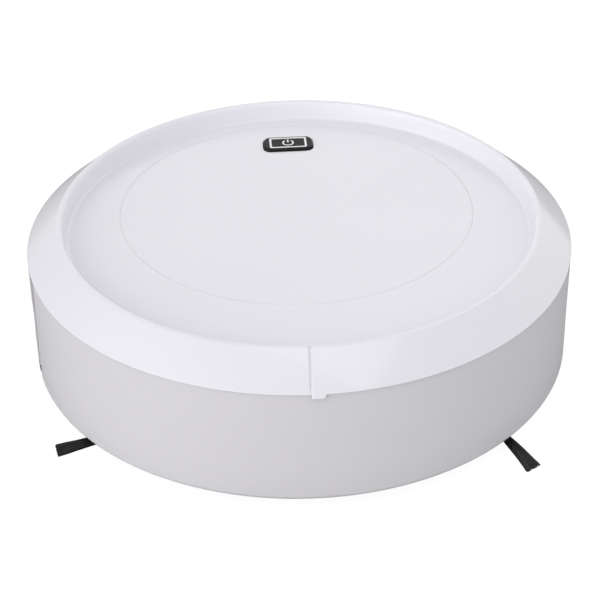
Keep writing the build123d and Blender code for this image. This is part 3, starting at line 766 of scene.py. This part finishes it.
def build_button():
    angles = front_angles(160)
    low = DISH_Z - BUTTON_BELOW
    flange_top = low + BUTTON_FLANGE_T
    steps = [
        (BUTTON_W + BUTTON_FLANGE, BUTTON_D + BUTTON_FLANGE, 3.0, low),
        (BUTTON_W + BUTTON_FLANGE, BUTTON_D + BUTTON_FLANGE, 3.0, flange_top),
        (BUTTON_W, BUTTON_D, BUTTON_R, flange_top),
    ]
    edge = BUTTON_EDGE
    for k in range(9):
        t = math.pi / 2 * k / 8
        inset = edge * (1 - math.cos(t))
        top = BUTTON_Z - edge + edge * math.sin(t)
        steps.append((BUTTON_W - 2 * inset, BUTTON_D - 2 * inset, BUTTON_R - inset, top))
    # a very shallow dish for the fingertip
    for share in (0.75, 0.5, 0.25, 0.08):
        size = (BUTTON_W - 2 * edge) * share, (BUTTON_D - 2 * edge) * share
        steps.append((*size, (BUTTON_R - edge) * share, BUTTON_Z - FINGER_DIP * (1 - share**2)))
    loops = [round_rect(w, d, r, z, angles, 0, BUTTON_Y) for w, d, r, z in steps]
    return loft("button_cap", loops, caps=True, sharp=50)


piece(build_button(), "start_button", "button_black", ["start_button"])

MARK_Z = BUTTON_Z + 0.05
MARK_T = 0.14
SYMBOL_OUT_R = 2.9
SYMBOL_IN_R = 2.15
SYMBOL_GAP = math.radians(38)
BAR_W = 0.78
BAR_D = 3.0
BAR_SHIFT = 1.75


def build_mark():
    """Thin printed frame and a generic power symbol."""
    angles = front_angles(96)

    def z_at(x, y):
        across = abs(x) / (BUTTON_W / 2 - BUTTON_EDGE)
        share = max(across, abs(y - BUTTON_Y) / (BUTTON_D / 2 - BUTTON_EDGE))
        return MARK_Z - FINGER_DIP * (1 - share**2)

    points = []
    faces = []

    def add_loops(loops, around):
        start = len(points)
        count = len(loops[0])
        for loop in loops:
            points.extend(loop)
        faces.extend(loft_faces(len(loops), count, around, True, False, start))
        if not around:
            faces.append(tuple(start + i * count for i in range(len(loops))))
            faces.append(tuple(start + i * count + count - 1 for i in range(len(loops)))[::-1])

    def flat(loop, lift):
        return [(x, y, z_at(x, y) + lift) for x, y, _ in loop]

    outer = round_rect(MARK_W, MARK_D, 0.9, 0, angles, 0, BUTTON_Y)
    inner = round_rect(MARK_W - 2 * MARK_LINE, MARK_D - 2 * MARK_LINE, 0.4, 0, angles, 0, BUTTON_Y)
    add_loops([flat(outer, -MARK_T), flat(outer, 0), flat(inner, 0), flat(inner, -MARK_T)], True)
    # open ring, its gap towards the rear where the bar stands
    arc_start, arc_turn = math.pi + SYMBOL_GAP, 2 * math.pi - 2 * SYMBOL_GAP
    arc = [arc_start + arc_turn * i / 60 for i in range(61)]
    out_arc = ring(SYMBOL_OUT_R, 0, arc, 0, BUTTON_Y)
    in_arc = ring(SYMBOL_IN_R, 0, arc, 0, BUTTON_Y)
    arc_loops = [flat(out_arc, -MARK_T), flat(out_arc, 0), flat(in_arc, 0), flat(in_arc, -MARK_T)]
    add_loops(arc_loops, False)
    bar = round_rect(BAR_W, BAR_D, 0.38, 0, front_angles(32), 0, BUTTON_Y + BAR_SHIFT)
    start = len(points)
    points.extend(flat(bar, -MARK_T))
    points.extend(flat(bar, 0))
    faces.extend(loft_faces(2, len(bar), True, False, False, start))
    faces.append(tuple(range(start + len(bar), start + 2 * len(bar))))
    faces.append(tuple(range(start, start + len(bar)))[::-1])
    return mesh_object("button_mark", points, faces, 40)


piece(build_mark(), "start_button", "ink_white", ["button_inlay"])


# ------------------------------------------------------------------ bumper
def build_bumper():
    count = 420
    angles = [-BUMPER_HALF + 2 * BUMPER_HALF * i / count for i in range(count + 1)]
    inner = BODY_R - WALL_T
    sections = {}
    columns = []
    for a in angles:
        share = rim_share(a)
        if share not in sections:
            sections[share] = rounded(
                [
                    (FLANGE_R, BASE_Z, 0.4),
                    (BODY_R, BASE_Z, 3.5),
                    (BODY_R, WALL_BOW_Z, 40.0),
                    (BODY_R - WALL_DRAFT, BUMPER_TOP - 0.1 - CUT_DROP * share, 0.08),
                    (BODY_R - WALL_DRAFT - 0.15 - CUT_IN * share, BUMPER_TOP, 0.08),
                    (inner, BUMPER_TOP, 0.3),
                    (inner, BASE_Z + FLANGE_T, 0.6),
                    (FLANGE_R, BASE_Z + FLANGE_T, 0.4),
                ],
                7,
            )
        columns.append([(r * math.sin(a), -r * math.cos(a), z) for r, z in sections[share]])
    loops = [list(loop) for loop in zip(*columns)]
    return loft("bumper_shell", loops, around=False, close=True, caps=True, sharp=35)


piece(build_bumper(), "bumper", "wall_white", ["bumper"])


def bar_box(name, lo, hi, soft):
    """Box with rounded upright edges, given by its corners in millimetres."""
    outline = rounded(
        [(lo[0], lo[1], soft), (hi[0], lo[1], soft), (hi[0], hi[1], soft), (lo[0], hi[1], soft)], 4
    )
    return loft(name, [[(x, y, z) for x, y in outline] for z in (lo[2], hi[2])], caps=True)


for side, word in ((-1, "left"), (1, "right")):
    x = side * TONGUE_X
    for kind, half, y_lo, y_hi, z_lo, z_hi, soft in (
        ("tongue", TONGUE_HALF, -117.0, -103.6, 40, 44, 0.3),
        ("flag", FLAG_HALF, -104.0, -98.0, 40.1, 43.9, 0.15),
    ):
        lo, hi = (x - half, y_lo, z_lo), (x + half, y_hi, z_hi)
        piece(bar_box(f"bumper_{kind}_{word}", lo, hi, soft), "bumper", "wall_white")


# ------------------------------------------------------------------ side brush bristles
def build_bristles(name, hub_x, hub_y, tufts, seed):
    """Tufts of crimped nylon filaments that fan out and rest their tips on the floor."""
    rng = random.Random(seed)
    points = []
    faces = []
    sides = 5
    rings = 7
    for angle, reach, root_w, tip_w, cut, offset, sag in tufts:
        a = math.radians(angle)
        along = Vector((math.cos(a), math.sin(a), 0))
        across = Vector((-math.sin(a), math.cos(a), 0))
        for _ in range(260):
            u = rng.uniform(-1, 1)
            v = rng.uniform(-1, 1)
            end = reach + cut * u + rng.uniform(-0.5, 0.3)
            bow = rng.uniform(-0.35, 0.35)
            phase = rng.uniform(0, 6.28)
            thick = rng.uniform(0.11, 0.16)
            spine = []
            for k in range(rings):
                t = k / (rings - 1)
                r = TUFT_ROOT_R + (end - TUFT_ROOT_R) * t
                w = root_w / 2 + (tip_w - root_w) / 2 * t**1.5
                side_crimp = 0.10 * math.sin(9 * t + phase)
                up_crimp = 0.06 * math.sin(11 * t + phase)
                side_shift = offset + u * w + bow * math.sin(math.pi * t) + side_crimp
                height = 3.0 + 0.7 * v * (1 - 0.3 * t) - 2.1 * t**sag + up_crimp
                p = Vector((hub_x, hub_y, 0)) + along * r + across * side_shift
                p.z = max(0.25, height)
                spine.append(p)
            start = len(points)
            for k, p in enumerate(spine):
                nxt = spine[min(k + 1, rings - 1)] - spine[max(k - 1, 0)]
                nxt.normalize()
                left = nxt.cross(Vector((0, 0, 1))).normalized()
                top = left.cross(nxt)
                r = thick * (0.75 if k == rings - 1 else 1.0)
                for s in range(sides):
                    c = 2 * math.pi * s / sides
                    q = p + (left * math.cos(c) + top * math.sin(c)) * r
                    points.append((q.x, q.y, q.z))
            faces.extend(loft_faces(rings, sides, True, False, True, start))
            faces.append(tuple(start + s for s in range(sides)))
            faces.append(tuple(start + (rings - 1) * sides + s for s in range(sides))[::-1])
    return mesh_object(name, points, faces, 60)


for side, word, shape in (
    (
        -1,
        "left",
        [
            (196.8, 40.6, 3.6, 7.9, 0.35, 1.7, 0.5),
            (318.0, 43.0, 3.2, 8.0, 0.6, 0.4, 1.2),
            (78.0, 43.0, 3.2, 7.8, -0.4, -0.3, 1.6),
        ],
    ),
    (
        1,
        "right",
        [
            (-66.2, 47.6, 2.2, 7.7, -0.6, 0.0, 1.6),
            (55.3, 43.0, 3.2, 8.0, -0.6, 0.3, 1.4),
            (175.3, 43.0, 3.2, 7.8, 0.5, -0.4, 1.1),
        ],
    ),
):
    screw_lo, screw_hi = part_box(f"brush_screw_{word}")
    hub_x = (screw_lo.x + screw_hi.x) / 2 / MM
    hub_y = (screw_lo.y + screw_hi.y) / 2 / MM
    tuft = build_bristles(f"brush_tufts_{word}", hub_x, hub_y, shape, 11 + side)
    piece(tuft, f"brush_{word}", "bristle", [f"bristles_{word}"])


# ------------------------------------------------------------------ tyres
def build_tyre(name, lo, hi):
    """Tyre with chevron tread blocks and a rounded shoulder."""
    x0, x1 = lo.x / MM, hi.x / MM
    cy, cz = (lo.y + hi.y) / 2 / MM, (lo.z + hi.z) / 2 / MM
    outer = (hi.z - lo.z) / 2 / MM
    inner = 20.0
    blocks = 30
    per = 12
    count = blocks * per
    mid = (x0 + x1) / 2
    half = (x1 - x0) / 2
    across = rounded(
        [(x0, inner, 0.2), (x0, outer, 1.5), (x1, outer, 1.5), (x1, inner, 0.2)], 5
    )
    dense = []
    for (xa, ra), (xb, rb) in zip(across, across[1:] + across[:1]):
        dense.append((xa, ra))
        pieces_here = max(1, int(abs(xb - xa) / 0.7)) if min(ra, rb) > outer - 0.2 else 1
        for k in range(1, pieces_here):
            t = k / pieces_here
            dense.append((xa + (xb - xa) * t, ra + (rb - ra) * t))
    loops = []
    for x, r in dense:
        loop = []
        for i in range(count):
            turn = i / per + abs(x - mid) / half * 0.55
            gap = abs((turn % 1.0) - 0.5) * 2
            cut = smooth_step((0.30 - gap) / 0.16) if abs(x - mid) > 0.7 else 0.0
            depth = 0.9 * cut * smooth_step((r - inner) / 4 - 0.4)
            a = 2 * math.pi * i / count
            loop.append((x, cy + (r - depth) * math.cos(a), cz + (r - depth) * math.sin(a)))
        loops.append(loop)
    return loft(name, loops, close=True, flip=False, sharp=40)


for word in ("left", "right"):
    lo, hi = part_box(f"tyre_{word}")
    piece(build_tyre(f"tread_{word}", lo, hi), f"wheel_{word}", "tyre_rubber", [f"tyre_{word}"])


# ------------------------------------------------------------------ rubber lip of the inlet
lip_lo, lip_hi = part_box("inlet_lip")


def build_lip():
    """Flap with a bead along its root and a thin, slightly curled edge, slit into fingers."""
    x0, x1 = lip_lo.x / MM, lip_hi.x / MM
    cy = (lip_lo.y + lip_hi.y) / 2 / MM
    top, low = lip_hi.z / MM, lip_lo.z / MM
    section = rounded(
        [
            (cy - 0.8, top, 0.1),
            (cy + 0.8, top, 0.1),
            (cy + 0.8, top - 1.1, 0.5),
            (cy + 0.35, top - 1.5, 0.3),
            (cy + 0.75, low + 0.1, 0.15),
            (cy + 0.25, low, 0.15),
            (cy - 0.30, top - 1.5, 0.3),
            (cy - 0.8, top - 1.1, 0.5),
        ],
        4,
    )
    loops = []
    steps = 170
    for i in range(steps + 1):
        x = x0 + (x1 - x0) * i / steps
        wave = 0.12 * math.sin(x * 0.35) + 0.07 * math.sin(x * 0.9)
        slit = smooth_step((0.32 - abs((x - x0) % 8.5 - 4.25)) / 0.2)
        loop = []
        for y, z in section:
            hang = max(0.0, (top - 1.6 - z) / (top - low))
            loop.append((x, y + wave * hang, z + (1.7 * slit * hang)))
        loops.append(loop)
    return loft("inlet_flap", loops, caps=True, flip=True, sharp=40)


piece(build_lip(), "chassis", "lip_rubber", ["inlet_lip"])


# ------------------------------------------------------------------ pleated filter
def build_filter():
    """Folded sheet filling the filter frame."""
    lo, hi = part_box("filter_media")
    x0, x1 = lo.x / MM + 0.05, hi.x / MM - 0.05
    y0, y1 = lo.y / MM + 0.05, hi.y / MM - 0.05
    z0, z1 = lo.z / MM + 0.05, hi.z / MM - 0.05
    sheet = 0.45
    folds = max(6, int((x1 - x0) / 3.2))
    steps = folds * 12
    front, back = [], []
    for i in range(steps + 1):
        t = i / steps
        wave = abs((t * folds) % 1.0 * 2 - 1)
        y = y0 + (y1 - y0 - sheet) * smooth_step(wave)
        x = x0 + (x1 - x0) * t
        front.append((x, y))
        back.append((x, y + sheet))
    outline = front + back[::-1]
    count = len(outline)
    points = []
    levels = 13
    for k in range(levels):
        z = z0 + (z1 - z0) * k / (levels - 1)
        sway = 0.18 * math.sin(2.2 * k)
        points += [(x + sway * math.sin(math.pi * (x - x0) / (x1 - x0)), y, z) for x, y in outline]
    faces = loft_faces(levels, count)
    top = (levels - 1) * count
    for i in range(steps):
        j = count - 1 - i
        faces.append((j - 1, j, i, i + 1))
        faces.append((top + i + 1, top + i, top + j, top + j - 1))
    return mesh_object("filter_pleats", points, faces, 45)


piece(build_filter(), "chassis", "filter_paper", ["filter_media"])


# ------------------------------------------------------------------ stage
def stage_plane(name, z, material):
    bpy.ops.mesh.primitive_plane_add(size=14, location=(0, 0, z))
    plane = bpy.context.object
    plane.name = name
    plane.data.materials.append(material)
    return plane


# the camera sees the floor, which lights nothing; the duller table just below it lights the part
floor = stage_plane("floor", 0, floor_paint("floor_paint", 0.10, FLOOR_GLOW))
floor.visible_diffuse = False
floor.visible_glossy = False
floor.visible_transmission = False
floor.visible_shadow = False
table = stage_plane("table", -0.0005, floor_paint("table_paint", TABLE_TONE, 0.0))
table.visible_camera = False


def area_light(name, where, wide, deep, power, turn):
    """Level softbox above the part, turned about the upright axis."""
    data = bpy.data.lights.new(name, "AREA")
    data.shape = "RECTANGLE"
    data.size = wide
    data.size_y = deep
    data.energy = power
    obj = collection_link(bpy.data.objects.new(name, data))
    obj.matrix_world = Matrix.Translation(where) @ Matrix.Rotation(math.radians(turn), 4, "Z")


area_light("top_box", (0.18, -0.34, 1.27), 1.04, 0.8, 3.12, -25.5)

# glowing panels of the tent: turn from the front, height, sharpness, strength
SKY = [
    (0, 15, 4.0, 0.817),
    (0, 70, 16.0, 0.467),
    (60, 15, 4.0, 0.771),
    (120, 15, 4.0, 1.16),
    (120, 45, 8.0, 0.081),
    (180, 15, 4.0, 1.195),
    (240, 15, 4.0, 0.327),
    (300, 15, 4.0, 2.567),
]


def build_world():
    """Studio tent whose panels glow by different amounts."""
    world = bpy.data.worlds.new("tent")
    bpy.context.scene.world = world
    world.use_nodes = True
    tree = world.node_tree
    back = tree.nodes["Background"]
    tex = add(tree, "ShaderNodeTexCoord")
    total = None
    for turn, height, sharpness, strength in SKY:
        az, up = math.radians(turn), math.radians(height)
        dot = add(tree, "ShaderNodeVectorMath", operation="DOT_PRODUCT")
        dot.inputs[1].default_value = (
            math.sin(az) * math.cos(up),
            -math.cos(az) * math.cos(up),
            math.sin(up),
        )
        tree.links.new(tex.outputs["Generated"], dot.inputs[0])
        facing = maths(tree, "POWER", maths(tree, "MAXIMUM", dot.outputs["Value"], 0.0), sharpness)
        lit = maths(tree, "MULTIPLY", facing, strength)
        total = lit if total is None else maths(tree, "ADD", total, lit)
    back.inputs["Color"].default_value = (1.0, 1.0, 1.0, 1)
    tree.links.new(total, back.inputs["Strength"])


build_world()


# ------------------------------------------------------------------ camera
CAMERA_DISTANCE = 6.535  # in body radii, from the rim's centre
CAMERA_TURN = math.radians(-3.4)  # round the upright axis, from the front
CAMERA_STAND = math.radians(31.208)  # height above the rim's level
CAMERA_DIP = math.radians(2.182)  # added to the downward tilt
CAMERA_ROLL = math.radians(-0.949)
CAMERA_LENS = 105.8


def build_camera():
    """Above the front, a little to the left, aimed just below the rim's centre."""
    distance = CAMERA_DISTANCE * (BODY_R * MM)
    turn, stand, roll = CAMERA_TURN, CAMERA_STAND, CAMERA_ROLL
    tilt = stand + CAMERA_DIP

    def back_vector(e):
        return Vector((math.sin(turn) * math.cos(e), -math.cos(turn) * math.cos(e), math.sin(e)))

    place = Vector((0, 0, EDGE_Z * MM)) + back_vector(stand) * distance
    back = back_vector(tilt)
    right = Vector((0, 0, 1)).cross(back).normalized()
    up = back.cross(right)
    right_r = right * math.cos(roll) + up * math.sin(roll)
    up_r = up * math.cos(roll) - right * math.sin(roll)
    rot = Matrix((right_r, up_r, back)).transposed().to_4x4()
    data = bpy.data.cameras.new("camera")
    data.sensor_width = 36
    data.lens = CAMERA_LENS
    data.clip_start = 0.01
    cam = collection_link(bpy.data.objects.new("camera", data))
    cam.matrix_world = Matrix.Translation(place) @ rot
    bpy.context.scene.camera = cam


build_camera()
bpy.context.scene.view_settings.view_transform = "Standard"
bpy.context.scene.view_settings.look = "None"
